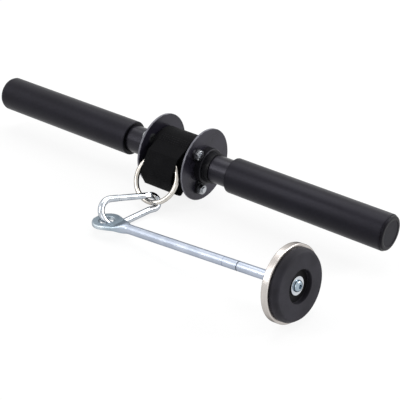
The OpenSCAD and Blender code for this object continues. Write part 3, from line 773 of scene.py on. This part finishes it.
def rod_section(x):
    """Half width, half height and corner of the rod at a place along it."""
    if any(-HAIR <= x - groove <= GROOVE_W + HAIR for groove in GROOVES):
        return (ROD_R - GROOVE_DEEP,) * 3
    if x < NECK_FROM:
        half_w = math.sqrt(max(EYE_R ** 2 - x * x, 0.0))
    else:
        t = min((x - NECK_FROM) / (NECK_END - NECK_FROM), 1.0)
        half_w = NECK_HALF + (ROD_R - NECK_HALF) * (0.75 * t + 0.25 * swell(t))
    half_h = EYE_T / 2 + (ROD_R - EYE_T / 2) * swell((x - FLAT_END) / (ROUND_END - FLAT_END))
    tip = EYE_R + x
    if tip < EYE_EDGE:
        half_h += math.sqrt(max(EYE_EDGE ** 2 - (EYE_EDGE - tip) ** 2, 0.0)) - EYE_EDGE
    return half_w, half_h, EYE_EDGE + (ROD_R - EYE_EDGE) * swell((x - FLAT_END) / (NECK_END - FLAT_END))


def section_points(half_w, half_h, corner, count=12):
    """A rounded rectangle, from corner to corner, with a point beside each corner on its long sides."""
    made = []
    corner = min(corner, half_w, half_h)
    level = (half_w - corner) * 0.85
    for quarter, (sw, sh) in enumerate(((1, 1), (-1, 1), (-1, -1), (1, -1))):
        if quarter % 2:
            made.append((sw * level, sh * half_h))
        for k in range(count + 1):
            angle = math.pi / 2 * (quarter + k / count)
            made.append((sw * (half_w - corner) + corner * math.cos(angle),
                         sh * (half_h - corner) + corner * math.sin(angle)))
        if not quarter % 2:
            made.append((sw * level, sh * half_h))
    return made


def cut_out(target, outline, origin, axis, steps):
    """Takes a turned shape out of a piece."""
    cutter = smoothed(shell("cutter", *turned(outline, origin, axis, steps)))
    bore = target.modifiers.new("bore", "BOOLEAN")
    bore.operation = "DIFFERENCE"
    bore.solver = "EXACT"
    bore.object = cutter
    settled(target).data.set_sharp_from_angle(angle=SHARP)
    bpy.data.objects.remove(cutter)


# close together at the eye's rounded tip, over the eye and the neck, and at the rings
stations = [HAIR / 2 - EYE_R + EYE_EDGE * (1 - math.cos(math.pi / 2 * k / 8)) for k in range(9)]
stations += [-13.2 + 0.8 * k for k in range(63)]
stations += [40.0 + 8.0 * k for k in range(15)]
for groove in GROOVES:
    stations += [groove - gap for gap in (0.5, 0.1, 0.02, 0.0)]
    stations += [groove + GROOVE_W + gap for gap in (0.0, 0.02, 0.1, 0.5)]
stations += [200.0, 220.0, ROD_END]
points = [on_pin(x, *p) for x in sorted(stations) for p in section_points(*rod_section(x))]
rod = smoothed(shell("pin_rod", points, loft(len(stations), len(points) // len(stations))))

punch = [(-PUNCH_REACH, 0.0), (-PUNCH_REACH, PUNCH_R)]
for k in range(9):
    height = EYE_T / 2 * (-1 + k / 4)
    rise = max(abs(height) - (EYE_T / 2 - EYE_LIP), 0.0)
    punch.append((height, EYE_HOLE_R + EYE_LIP - math.sqrt(EYE_LIP ** 2 - rise ** 2)))
punch += [(PUNCH_REACH, PUNCH_R), (PUNCH_REACH, 0.0)]
cut_out(rod, punch, PIN_EYE, PIN_NORMAL, 96)
mount(rod, blue, "pin", "zinc_blue", "loading_rod")


# Base disc: a steel disc turned in the lathe, pressed on the rod and nickel plated, which carries the plates.
# Fine turning rings show on its faces and rim, and both edges are broken and shine.
DISC_R = 38.2
DISC_T = 7.6
DISC_AT = 233.0
FIT = 0.05
LATHE_STEPS = 192

steel = Finish("disc_steel", Metallic=1.0, Specular_Tint=(0.3, 0.3, 0.3, 1.0))
far = steel.away(on_pin(DISC_AT), PIN_WAY)
rings = (far / 0.45 * math.pi).sine()
bands = (steel.along(on_pin(DISC_AT), PIN_WAY) / 0.5 * math.pi).sine()
cloud = steel.noise(60.0, 3.0)
hair = steel.noise(1.0, 3.0, stretch=(1800.0, 60.0, 60.0))
on_rim = steel.fade(far, DISC_R - 0.6, DISC_R)
height = rings * (1 - on_rim) * 0.3 + bands * on_rim * 0.2 + hair * 0.5
steel.feed(Base_Color=steel.blend("#c9c4c0", "#b5afab", steel.fade(cloud * 0.6 + hair * 0.4, 0.35, 0.65)),
           Roughness=0.27 + (cloud - 0.5) * 0.14 + (hair - 0.5) * 0.1,
           Normal=steel.bump(height, 0.03, 0.5))

disc_outline = [(0.0, ROD_R + FIT, 0.2), (0.0, DISC_R, 1.1), (DISC_T, DISC_R, 1.1), (DISC_T, ROD_R + FIT, 0.2)]
disc = smoothed(shell("turned_disc", *turned(eased(disc_outline), on_pin(DISC_AT), PIN_WAY, LATHE_STEPS)))
mount(disc, steel, "pin", "disc_steel", "base_disc")


# Rubber foot: a moulded rubber ring under the disc, bevelled outside, with a recess for the screw that
# holds it. It is matt with a fine skin, a little paler on the bevel where it has stood on the floor.
FOOT_R = 35.4
FOOT_T = 8.4
FOOT_AT = DISC_AT + DISC_T
BEVEL_T = 4.5
BEVEL_R = 3.0
RECESS_R = 16.5
WEB_T = 3.1
SHANK_R = 3.0

rubber = Finish("foot_rubber", Specular_IOR_Level=0.12)
far = rubber.away(on_pin(FOOT_AT), PIN_WAY)
fine = rubber.noise(1300.0, 3.0)
cloud = rubber.noise(45.0, 3.0)
dust = rubber.fade(rubber.along(on_pin(FOOT_AT), PIN_WAY) + (cloud - 0.5) * 3.0, 6.0, 9.5)
dust = dust * rubber.fade(far, RECESS_R - 0.5, RECESS_R + 1.5)
inside = rubber.fade(far, RECESS_R - 0.7, RECESS_R + 0.1, 1.0, 0.0)
colour = rubber.blend("#222126", "#2d2c32", rubber.fade(cloud, 0.3, 0.7))
colour = rubber.blend(colour, "#3b3a40", dust * 0.35)
colour = rubber.blend(colour, "#08080a", inside * 0.9)
rubber.feed(Base_Color=colour, Roughness=0.55 + (fine - 0.5) * 0.2 + dust * 0.08,
            Normal=rubber.bump(fine * 0.7 + cloud * 0.3, 0.08, 0.6))

foot_outline = [
    (0.0, SHANK_R + FIT, 0.0), (0.0, FOOT_R, 0.4),
    (FOOT_T - BEVEL_T, FOOT_R, 1.2), (FOOT_T, FOOT_R - BEVEL_R, 1.4),
    (FOOT_T, RECESS_R, 0.7), (WEB_T, RECESS_R, 0.6), (WEB_T, SHANK_R + FIT, 0.0)
]
foot = smoothed(shell("moulded_foot", *turned(eased(foot_outline), on_pin(FOOT_AT), PIN_WAY, LATHE_STEPS)))
mount(foot, rubber, "pin", "foot_rubber", "rubber_foot")


# Foot washer and screw: a button head screw with a hexagon socket pulls the foot against the disc.
# Both are turned from steel and zinc plated, the screw with a blue tint.
WASHER_T = 1.6
HEAD_R = 5.85
HEAD_T = 3.3
HEAD_TOP_R = 2.2
HEAD_AT = FOOT_AT + WEB_T + WASHER_T
SHANK_LONG = 25.0
TIP_BEVEL = 0.5
SOCKET_R = 2.31
SOCKET_DEEP = 2.0

dress(plated("zinc_bright", "#d6dade", "#c4cad2", 0.16), "foot_washer")
screw_outline = [(-SHANK_LONG, 0.0), (-SHANK_LONG, 2.6), (TIP_BEVEL - SHANK_LONG, SHANK_R), (0.0, SHANK_R)]
for slant in range(0, 91, 9):
    top, out = math.sin(math.radians(slant)), math.cos(math.radians(slant))
    screw_outline.append((HEAD_T * top, HEAD_TOP_R + (HEAD_R - HEAD_TOP_R) * out))
screw_outline.append((HEAD_T, 0.0))
screw = smoothed(shell("button_screw", *turned(screw_outline, on_pin(HEAD_AT), PIN_WAY, 96)))
socket = [(HEAD_T - SOCKET_DEEP, 0.0), (HEAD_T - SOCKET_DEEP, SOCKET_R), (HEAD_T + 1.0, SOCKET_R),
          (HEAD_T + 1.0, 0.0)]
cut_out(screw, socket, on_pin(HEAD_AT), PIN_WAY, 6)
mount(screw, plated("screw_zinc", "#aab9c4", "#8f9fab", 0.18), "pin", "zinc_bright", "foot_screw")
